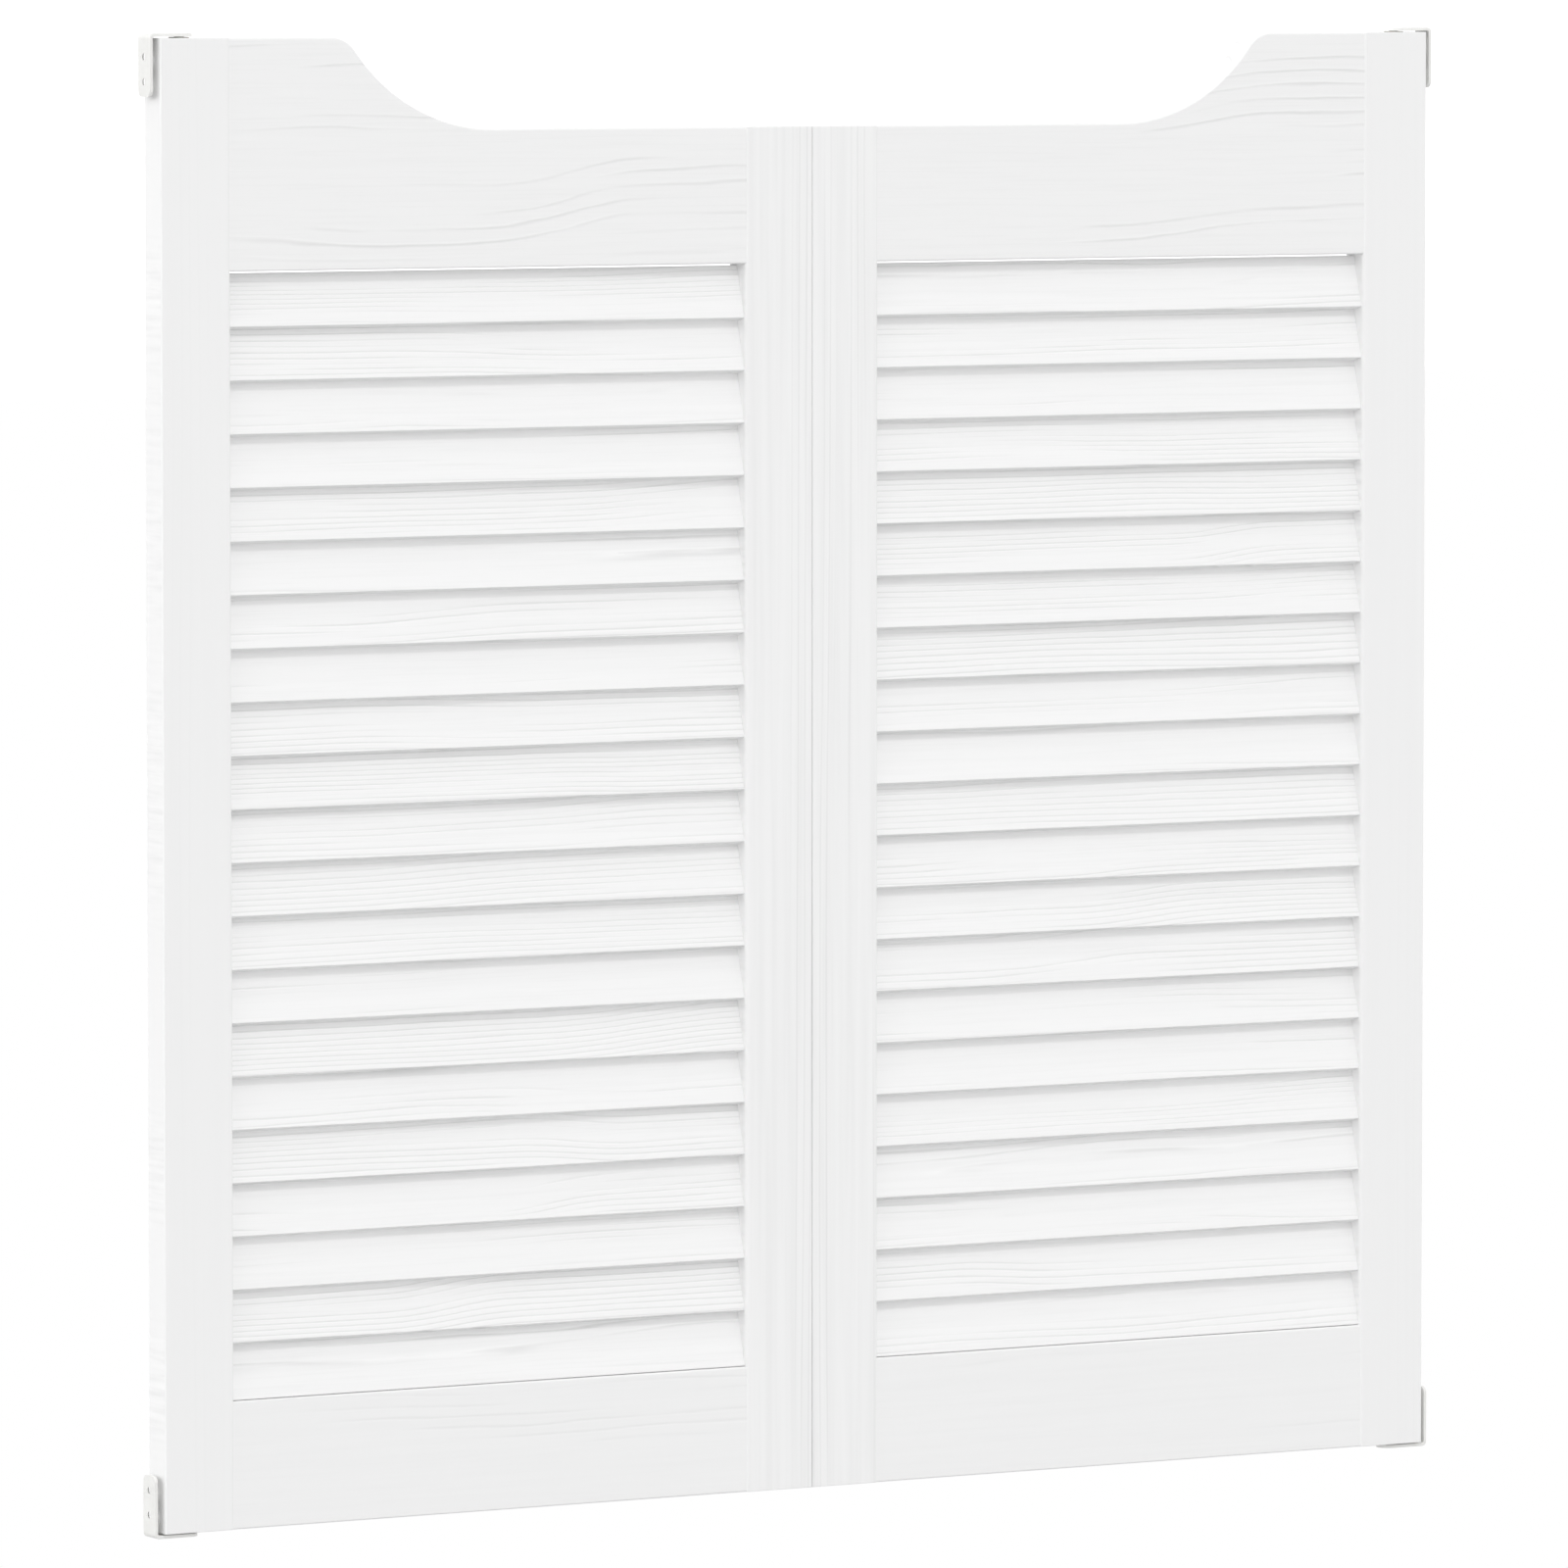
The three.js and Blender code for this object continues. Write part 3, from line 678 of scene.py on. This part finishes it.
def slatBoard(side, number):
    node = slatNode(side, number)
    low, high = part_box(node)
    centre, width = slatSection(side, number)
    lowest = number == slatNumbers[-1]
    front = slat["lowestEase"] if lowest else slat["edge"]
    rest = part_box(f"{side}_bottom_rail")[1].z + slat["lowestGap"] - centre.z
    slope = math.tan(slat["lean"])
    rise = rest / math.cos(slat["lean"])

    def sectionAt(inset):
        section = roundedSection(
            slat["thickness"] - 2 * inset, width - 2 * inset, slat["edge"] - inset,
            slat["edgeSteps"], front - inset)
        return [(x, max(y, x * slope + rise)) for x, y in section] if lowest else section

    board = bmesh.new()
    place = alongX(low.x, centre.y, centre.z, -slat["lean"])
    easedBar(board, sectionAt, high.x - low.x, place, slat["endEase"], slat["endSteps"])
    piece = newObject(f"{side}_louvre_{number:02d}", board)
    cut = "plain_sawn_slat" if random.Random(node).random() < plainSawnShare else "slat"
    sawFrom(piece, centre, "x", pickLog(cut, node))
    seat(piece, f"{side}_leaf", node, "painted_pine")


# Rails

rail = {
    "arris": 1.2 * mm,
    "arrisSteps": 5,
    "reachBelow": 0.5 * mm,  # of the top rail beyond its solid, over the slats
    "painted": 0.02 * mm,  # of the shoulders into the stiles, where paint fills the joints
    "lastScribe": 0.3 * mm,  # last step of the shoulders along the arris of the stile
    "shoulder": 12 * mm,
    "topShoulder": 22 * mm,
    "tenonLength": 20 * mm,
    "tenonThickness": 8 * mm,
    "tenonCorner": 1 * mm,
    "tenonSteps": 2,
    "tenonEase": 0.5 * mm,
    "levelRun": 116 * mm,  # level stretch of the top edge, from the outer edge of the leaf
    "convexRadius": 20 * mm,
    "concaveRadius": 118 * mm,
    "curveSteps": 28,
}


def tenonHeights(low, high, topShoulder):
    return low + rail["shoulder"], high - topShoulder


# Rail board from its outline, in the plane of the leaf, at an inset of its long edges and a reach
# of its shoulders, which are scribed to the round arrises of the stiles; a tenon at each end
def railBoard(side, kind, outlineAt, hingeTenon, meetingTenon):
    node = f"{side}_{kind}_rail"
    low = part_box(node)[0]
    setBack = low.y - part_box(f"{side}_hinge_stile")[0].y
    arris = stile["openingArris"]
    front = list(quarterRound(rail["arris"], rail["arrisSteps"]))
    front += [(0, arris - setBack - back) for back in (rail["lastScribe"], 0)]
    rings = []
    for inset, level in front:
        below = max(arris - setBack - level, 0)  # to the end of the stile's arris
        reach = arris - math.sqrt(arris ** 2 - below ** 2) + rail["painted"]
        rings.append([Vector((x, low.y + level, z)) for x, z in outlineAt(inset, reach)])
    rings += [[Vector((point.x, -point.y, point.z)) for point in ring] for ring in reversed(rings)]
    board = bmesh.new()
    skin(board, rings)
    piece = newObject(f"{side}_{kind}_crosspiece", board)

    tenons = bmesh.new()
    root = rail["tenonLength"] / 2  # length inside the board, where it is joined
    left, right = opening(side)
    leftTenon, rightTenon = (hingeTenon, meetingTenon) if side == "left" else (meetingTenon, hingeTenon)
    for start, (bottom, top) in (
        (left + fit - rail["tenonLength"], leftTenon),
        (right - fit - root, rightTenon),
    ):
        def tenonSection(inset, tall=top - bottom):
            return roundedSection(
                rail["tenonThickness"] - 2 * inset, tall - 2 * inset, rail["tenonCorner"], rail["tenonSteps"])

        place = alongX(start, 0, (bottom + top) / 2)
        easedBar(tenons, tenonSection, rail["tenonLength"] + root, place, rail["tenonEase"], steps=1)
    carve(piece, newObject("tenons", tenons), "UNION")
    sawFrom(piece, middleOf(node), "x", pickLog(f"{kind}_rail", node))
    seat(piece, f"{side}_leaf", node, "painted_pine")


def bottomRail(side):
    low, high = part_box(f"{side}_bottom_rail")
    left, right = opening(side)

    def outlineAt(inset, reach):
        x0, x1 = left - reach, right + reach
        z0, z1 = low.z + inset, high.z - inset
        return [(x0, z0), (x1, z0), (x1, z1), (x0, z1)]

    heights = tenonHeights(low.z, high.z, rail["shoulder"])
    railBoard(side, "bottom", outlineAt, heights, heights)


# Level at the hinge side, then a convex and a concave arc down to the meeting side
def topRail(side):
    low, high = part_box(f"{side}_top_rail")
    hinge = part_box(f"{side}_hinge_stile")
    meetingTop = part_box(f"{side}_meeting_stile")[1].z
    left, right = opening(side)
    inward = 1 if side == "left" else -1
    outerEdge = hinge[0].x if side == "left" else hinge[1].x
    hingeEnd, meetingEnd = (left, right) if side == "left" else (right, left)
    convexAt = outerEdge + inward * rail["levelRun"], high.z - rail["convexRadius"]
    rise = meetingTop + rail["concaveRadius"] - convexAt[1]
    apart = rail["convexRadius"] + rail["concaveRadius"]
    run = math.sqrt(apart ** 2 - rise ** 2)
    concaveAt = convexAt[0] + inward * run, convexAt[1] + rise
    slope = math.atan2(rise, run)  # of the line between the two arcs' middles

    def arcPoints(centre, radius, start, end):
        for step in range(rail["curveSteps"] + 1):
            angle = start + (end - start) * step / rail["curveSteps"]
            yield centre[0] + inward * radius * math.cos(angle), centre[1] + radius * math.sin(angle)

    def outlineAt(inset, reach):
        near = hingeEnd - inward * reach
        far = meetingEnd + inward * reach
        bottom = low.z - rail["reachBelow"] + inset
        points = [(near, bottom), (far, bottom), (far, meetingTop - inset)]
        points += arcPoints(concaveAt, rail["concaveRadius"] + inset, 1.5 * math.pi, math.pi + slope)
        points += arcPoints(convexAt, rail["convexRadius"] - inset, slope, math.pi / 2)
        return points + [(near, high.z - inset)]

    railBoard(
        side, "top", outlineAt,
        tenonHeights(low.z, high.z, rail["topShoulder"]),
        tenonHeights(low.z, meetingTop, rail["topShoulder"]))


# Stiles

stile = {
    "openingArris": 2.5 * mm,  # beside the slats
    "outerArris": 1.2 * mm,  # at the hinge side of the leaf
    "meetingArris": 0.5 * mm,  # where the leaves meet
    "meetingReach": 0.06 * mm,  # beyond the solid, where the leaves meet
    "leastArris": 0.05 * mm,  # at the eased ends
    "arrisSteps": 8,
    "endEase": 0.5 * mm,
    "endSteps": 4,
}


# Slanted housings for the slats and mortises for the rails, in the face of a stile at faceX
def stileJoints(mesh, side, faceX, stileTop):
    gap = slat["seat"]
    for number in slatNumbers:
        centre, width = slatSection(side, number)
        section = roundedSection(
            slat["thickness"] + 2 * gap, width + 2 * gap, slat["edge"] + gap, slat["edgeSteps"])
        place = alongX(faceX - slat["housing"], centre.y, centre.z, -slat["lean"])
        easedBar(mesh, lambda inset: section, 2 * slat["housing"], place, ease=0, steps=1)
    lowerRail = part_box(f"{side}_bottom_rail")
    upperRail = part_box(f"{side}_top_rail")
    depth = rail["tenonLength"] + 2 * fit
    for low, high in (
        tenonHeights(lowerRail[0].z, lowerRail[1].z, rail["shoulder"]),
        tenonHeights(upperRail[0].z, stileTop, rail["topShoulder"]),
    ):
        section = roundedSection(
            rail["tenonThickness"] + 2 * fit, high - low + 2 * fit, fit, rail["tenonSteps"])
        place = alongX(faceX - depth, 0, (low + high) / 2)
        easedBar(mesh, lambda inset: section, 2 * depth, place, ease=0, steps=1)


# Bores in the ends of a hinge stile, for the spring tube below and the bush above
def pivotBores(mesh, side, low, high):
    place = Matrix.Translation((pivotX(side), 0, 0))
    barrel = tube["radius"] + fit
    turnedBar(mesh, [(barrel, low - mm), (barrel, low + tube["length"] - proud + fit)], place)
    body = bush["radius"] + fit
    flange = bush["flangeRadius"] + fit
    bodyLow = high + proud - bush["length"] - fit
    flangeLow = high + proud - bush["flange"] - fit
    turnedBar(mesh, [(body, bodyLow), (body, flangeLow), (flange, flangeLow), (flange, high + mm)], place)


def stileBoard(side, kind):
    node = f"{side}_{kind}_stile"
    low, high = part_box(node)
    if kind == "meeting" and side == "left":
        high.x += stile["meetingReach"]
    elif kind == "meeting":
        low.x -= stile["meetingReach"]
    width, thickness, length = high - low
    middle = (low + high) / 2
    left, right = opening(side)
    openingAtRight = middle.x < left
    arrises = stile["openingArris"], stile["outerArris" if kind == "hinge" else "meetingArris"]
    rightArris, leftArris = arrises if openingAtRight else arrises[::-1]

    def sectionAt(inset):
        return roundedSection(
            width - 2 * inset, thickness - 2 * inset, max(rightArris - inset, stile["leastArris"]),
            stile["arrisSteps"], max(leftArris - inset, stile["leastArris"]))

    board = bmesh.new()
    place = Matrix.Translation((middle.x, middle.y, low.z))
    easedBar(board, sectionAt, length, place, stile["endEase"], stile["endSteps"])
    piece = newObject(f"{side}_{kind}_upright", board)

    joints = bmesh.new()
    stileJoints(joints, side, left if openingAtRight else right, high.z)
    if kind == "hinge":
        pivotBores(joints, side, low.z, high.z)
    carve(piece, newObject("joints", joints), "DIFFERENCE")
    sawFrom(piece, middle, "z", pickLog(f"{kind}_stile", node))
    seat(piece, f"{side}_leaf", node, "painted_pine")


# Pivots: local Z is the pivot line, and zero the inner face of the bracket's arm

bracket = {
    "strip": 2 * mm,  # thickness
    "width": 16 * mm,
    "edge": 0.3 * mm,
    "edgeSteps": 3,
    "plateAt": 21.5 * mm,  # inner face of the plate from the pivot line
    "plateHeight": 36 * mm,
    "plateCorner": 4 * mm,
    "fold": 1 * mm,  # radius inside the fold
    "steps": 12,
    "screwHole": 2.1 * mm,
    "countersink": 4.1 * mm,
    "screwHeights": (12 * mm, 27 * mm),
    "pin": 3 * mm,
    "pinLength": 22 * mm,
    "postLength": 48 * mm,
    "head": 4.8 * mm,
    "headHeight": 3 * mm,
    "ease": 0.4 * mm,
}


def pivotPlace(side, end):
    low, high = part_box(f"{side}_{end}_jamb_bracket")
    z = low.z + bracket["strip"] if end == "lower" else high.z - bracket["strip"]
    about = Matrix.Rotation(math.pi if side == "right" else 0, 4, "Z")
    over = Matrix.Rotation(math.pi if end == "upper" else 0, 4, "X")
    return Matrix.Translation((pivotX(side), 0, z)) @ about @ over


# Arm with a round end, fold, and plate with round corners, towards -X
def foldedStrip(mesh, place):
    half = bracket["width"] / 2
    thick = bracket["strip"]
    fold = bracket["fold"]
    foldMiddle = fold + thick / 2
    foldX = fold - bracket["plateAt"]
    top = bracket["plateHeight"]
    corner = bracket["plateCorner"]
    upright = math.pi / 2
    quarter = [step / bracket["steps"] * upright for step in range(bracket["steps"] + 1)]
    line = [(half * math.cos(turn), -thick / 2, 0, half * math.sin(turn)) for turn in quarter[1:]]
    for turn in quarter:
        line.append((foldX - foldMiddle * math.sin(turn), fold - foldMiddle * math.cos(turn), turn, half))
    for turn in quarter:
        narrower = corner * (1 - math.cos(turn))
        line.append((foldX - foldMiddle, top - corner * (1 - math.sin(turn)), upright, half - narrower))
    rings = []
    for x, z, turn, halfWidth in line:
        edge = min(bracket["edge"], halfWidth / 2)
        rings.append([
            place @ Vector((x + through * math.sin(turn), across, z + through * math.cos(turn)))
            for through, across in roundedSection(thick, 2 * halfWidth, edge, bracket["edgeSteps"])
        ])
    skin(mesh, rings)


def screwHoles(mesh, place):
    inner = -bracket["plateAt"]
    outer = inner - bracket["strip"]
    hole, sink = bracket["screwHole"], bracket["countersink"]
    for height in bracket["screwHeights"]:
        turnedBar(mesh, [(hole, outer - mm), (hole, outer), (sink, inner), (sink, inner + mm)],
                  place @ alongX(0, 0, height))


# Bar across the open slot for a leg of the spring, on the line of its coil
def legSlot(mesh, place, angle, low, high):
    radius = coil["radius"]
    bar = coil["wire"] / 2 + fit
    offset = Matrix.Translation((radius * math.cos(angle), radius * math.sin(angle), 0))
    turnedBar(mesh, [(bar, low), (bar, high)], place @ offset, steps=coil["slotSides"])


def jambBracket(side, end):
    place = pivotPlace(side, end)
    strip = bmesh.new()
    foldedStrip(strip, place)
    piece = newObject(f"{side}_{end}_pivot_bracket", strip)
    holes = bmesh.new()
    screwHoles(holes, place)
    carve(piece, newObject("holes", holes), "DIFFERENCE")

    pin, ease = bracket["pin"], bracket["ease"]
    top = bracket["pinLength"] if end == "upper" else bracket["postLength"] + bracket["headHeight"]
    profile = [(pin, -bracket["strip"] / 2)]
    if end == "lower":
        profile += [(pin, bracket["postLength"]), (bracket["head"], bracket["postLength"])]
    profile += [(profile[-1][0], top - ease), (profile[-1][0] - ease, top)]
    post = bmesh.new()
    turnedBar(post, profile, place)
    carve(piece, newObject("post", post), "UNION")
    if end == "lower":
        slot = bmesh.new()
        legAt = 2 * math.pi * coil["turns"] + coil["bend"] / coil["radius"]
        legSlot(slot, place, legAt, bracket["postLength"] - mm, top + mm)
        carve(piece, newObject("slot", slot), "DIFFERENCE")
    seat(piece, "jamb_hardware", f"{side}_{end}_jamb_bracket", "powder_coated_steel")


tube = {
    "radius": 6.2 * mm,
    "wall": 0.9 * mm,
    "length": 58 * mm,
    "lip": 4.5 * mm,
    "cap": 3 * mm,
    "mouth": 3.2 * mm,
    "ease": 0.3 * mm,
}


# Steel cup, mouth down
def springTube(side):
    place = pivotPlace(side, "lower")
    low, high = mouthLow, mouthLow + tube["length"]
    radius, mouth, ease = tube["radius"], tube["mouth"], tube["ease"]
    bore = radius - tube["wall"]
    cup = bmesh.new()
    turnedBar(cup, [
        (bore, high - tube["cap"]), (bore, low + tube["lip"]), (mouth, low + tube["lip"]),
        (mouth, low + ease), (mouth + ease, low), (radius - ease, low), (radius, low + ease),
        (radius, high - ease), (radius - ease, high),
    ], place)
    piece = newObject(f"{side}_spring_barrel", cup)
    slot = bmesh.new()
    legSlot(slot, place, -coil["bend"] / coil["radius"], low - mm, low + tube["lip"] + mm)
    carve(piece, newObject("slot", slot), "DIFFERENCE")
    seat(piece, f"{side}_leaf", f"{side}_spring_tube", "zinc_plated_steel")


bush = {
    "radius": 4.8 * mm,
    "length": 24 * mm,
    "flangeRadius": 6.2 * mm,
    "flange": 2 * mm,
    "mouth": 3.2 * mm,
    "ease": 0.3 * mm,
}


def upperBush(side):
    low, high = mouthLow, mouthLow + bush["length"]
    radius, flange, mouth, ease = bush["radius"], bush["flangeRadius"], bush["mouth"], bush["ease"]
    ring = bmesh.new()
    turnedBar(ring, [
        (mouth, low + ease), (mouth + ease, low), (flange - ease, low), (flange, low + ease),
        (flange, low + bush["flange"]), (radius, low + bush["flange"]), (radius, high - ease),
        (radius - ease, high), (mouth, high),
    ], pivotPlace(side, "upper"), loop=True)
    piece = newObject(f"{side}_pivot_bush", ring)
    seat(piece, f"{side}_leaf", f"{side}_upper_bush", "nylon")


coil = {
    "radius": 4.1 * mm,
    "wire": 1.2 * mm,
    "turns": 12,
    "pitch": 3 * mm,
    "start": 9.5 * mm,  # lowest turn above the arm
    "bend": 1.5 * mm,  # radius from the coil into each straight leg
    "bendSteps": 6,
    "steps": 28,  # in each turn
    "sides": 10,
    "slotSides": 24,
}


# Wire from a leg in the tube's lip, round the turns, to a leg in the post's head. On the real pivot the
# lower leg moves with the leaf, the upper one stays, and the turns wind up between them; this wire is
# built at rest and moves with no body
def torsionSpring(side):
    place = pivotPlace(side, "lower")
    radius, bend, start = coil["radius"], coil["bend"], coil["start"]
    rise = coil["turns"] * coil["pitch"]
    around = 2 * math.pi * coil["turns"]
    count = coil["turns"] * coil["steps"]
    bends = []
    for step in range(1, coil["bendSteps"] + 1):
        turn = step / coil["bendSteps"] * math.pi / 2
        bends.append((bend * math.sin(turn) / radius, bend * (1 - math.cos(turn))))
    line = [(-bend / radius, mouthLow + tube["lip"] / 2)]
    line += [(-angle, start - drop) for angle, drop in reversed(bends)]
    line += [(around * step / count, start + rise * step / count) for step in range(count + 1)]
    line += [(around + angle, start + rise + lift) for angle, lift in bends]
    line.append((around + bend / radius, bracket["postLength"] + bracket["headHeight"] / 2))
    points = [Vector((radius * math.cos(angle), radius * math.sin(angle), z)) for angle, z in line]
    section = circle(coil["wire"] / 2, coil["sides"])
    rings = []
    for step, point in enumerate(points):
        along = points[min(step + 1, len(points) - 1)] - points[max(step - 1, 0)]
        outward = Vector((point.x, point.y, 0)).normalized()
        across = along.cross(outward).normalized()
        rings.append([place @ (point + outward * u + across * v) for u, v in section])
    wire = bmesh.new()
    skin(wire, rings)
    piece = newObject(f"{side}_closing_spring", wire)
    dress(piece, f"{side}_torsion_spring", "spring_steel")
    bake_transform(piece)


for side in sides:
    stileBoard(side, "hinge")
    stileBoard(side, "meeting")
    bottomRail(side)
    topRail(side)
    for number in slatNumbers:
        slatBoard(side, number)
    print(side, "leaf made:", 4 + len(slatNumbers), "boards")

for side in sides:
    jambBracket(side, "lower")
    jambBracket(side, "upper")
    springTube(side)
    upperBush(side)
    torsionSpring(side)
    print(side, "pivots made: 5 pieces")


# Floor, light and camera

stage = {
    "floorDrop": 600 * mm,  # below the bottom of the hung doors
    "floorSize": 60.0,  # m across
    "floorParts": 8,
    "floorGrey": "#bcbcbc",
    "lift": 0.45,  # added for the camera, up to white where the floor is lit
    "fadeFrom": 1.3,  # m from the middle, where the floor starts to go over into the white behind
    "fadeTo": 2.2,
}


# 1 for what the camera sees, also mirrored or through glass
def seenRays(tree):
    rays = addNode(tree, "ShaderNodeLightPath")
    seen = addNode(tree, "ShaderNodeMath", {
        0: rays.outputs["Is Camera Ray"], 1: rays.outputs["Is Glossy Ray"],
    }, operation="MAXIMUM")
    return addNode(tree, "ShaderNodeMath", {
        0: seen.outputs[0], 1: rays.outputs["Is Transmission Ray"],
    }, operation="MAXIMUM").outputs[0]


def paleFloor():
    material, tree = newMaterial("floor_matt_white")
    place = addNode(tree, "ShaderNodeTexCoord").outputs["Object"]
    out = addNode(tree, "ShaderNodeVectorMath", {0: place}, operation="LENGTH")
    fade = addNode(tree, "ShaderNodeMapRange", {
        "Value": out.outputs["Value"], "From Min": stage["fadeFrom"], "From Max": stage["fadeTo"],
    }, interpolation_type="SMOOTHSTEP")
    shown = seenRays(tree)
    lift = addNode(tree, "ShaderNodeMath", {0: shown, 1: stage["lift"]}, operation="MULTIPLY")
    white = addNode(tree, "ShaderNodeMath", {0: shown, 1: fade.outputs[0]}, operation="MULTIPLY")
    matt = addNode(tree, "ShaderNodeBsdfDiffuse", {"Color": toLinear(stage["floorGrey"])})
    glow = addNode(tree, "ShaderNodeEmission", {"Strength": lift.outputs[0]})
    near = addNode(tree, "ShaderNodeAddShader", {0: matt.outputs[0], 1: glow.outputs[0]})
    far = addNode(tree, "ShaderNodeEmission", {"Strength": 1.0})
    floorLook = addNode(tree, "ShaderNodeMixShader", {
        0: white.outputs[0], 1: near.outputs[0], 2: far.outputs[0],
    })
    addNode(tree, "ShaderNodeOutputMaterial", {"Surface": floorLook.outputs[0]})

    ground = bmesh.new()
    bmesh.ops.create_grid(
        ground, x_segments=stage["floorParts"], y_segments=stage["floorParts"], size=stage["floorSize"] / 2)
    floor = newObject("floor", ground)
    floor.location.z = -stage["floorDrop"]
    floor.data.materials.append(material)


# The room has white walls, and goes over into a greyer ceiling between two heights in degrees.
# Lamps are placed in degrees, from straight in front to the right and upward
light = {
    "room": {"around": 1.38, "above": 0.875, "from": 10, "to": 35},
    "key": {"power": 0.42, "side": 0, "height": 41.5, "spread": 4},
    "fill": {"power": 0.83, "side": -95, "height": 15, "spread": 60},
}


def hangLamp(name, lamp):
    data = bpy.data.lights.new(name, "SUN")
    data.energy = lamp["power"]
    data.angle = math.radians(lamp["spread"])
    sun = bpy.data.objects.new(name, data)
    scene.collection.objects.link(sun)
    side, height = math.radians(lamp["side"]), math.radians(lamp["height"])
    level = math.cos(height)
    towards = Vector((math.sin(side) * level, -math.cos(side) * level, math.sin(height)))
    sun.rotation_euler = (-towards).to_track_quat("-Z", "Y").to_euler()


def whiteRoom():
    world = bpy.data.worlds.new("white_room")
    world.use_nodes = True
    world.node_tree.nodes.clear()
    tree = world.node_tree
    room = light["room"]
    towards = addNode(tree, "ShaderNodeTexCoord").outputs["Generated"]
    towardsParts = addNode(tree, "ShaderNodeSeparateXYZ", {0: towards})
    bright = addNode(tree, "ShaderNodeMapRange", {
        "Value": towardsParts.outputs["Z"],
        "From Min": math.sin(math.radians(room["from"])), "From Max": math.sin(math.radians(room["to"])),
        "To Min": room["around"], "To Max": room["above"],
    }, interpolation_type="SMOOTHSTEP")
    seen = addNode(tree, "ShaderNodeMath", {0: bright.outputs[0], 1: seenRays(tree)}, operation="MAXIMUM")
    white = addNode(tree, "ShaderNodeBackground", {"Color": (1, 1, 1, 1), "Strength": seen.outputs[0]})
    addNode(tree, "ShaderNodeOutputWorld", {"Surface": white.outputs[0]})
    scene.world = world


view = {
    "place": (-3.742, -6.478, 0.966),  # m
    "turn": 29.92,  # degrees from straight on, to the right
    "tip": 4.023,  # degrees down
    "lens": 278.1,  # mm, as is the next
    "pictureWidth": 36,
}


def photoCamera():
    data = bpy.data.cameras.new("photo_camera")
    data.lens = view["lens"]
    data.sensor_width = view["pictureWidth"]
    camera = bpy.data.objects.new("photo_camera", data)
    camera.location = view["place"]
    camera.rotation_euler = (math.radians(90 - view["tip"]), 0, -math.radians(view["turn"]))
    scene.collection.objects.link(camera)
    scene.camera = camera


paleFloor()
hangLamp("key_lamp", light["key"])
hangLamp("fill_lamp", light["fill"])
whiteRoom()
photoCamera()
print("floor, light and camera set")
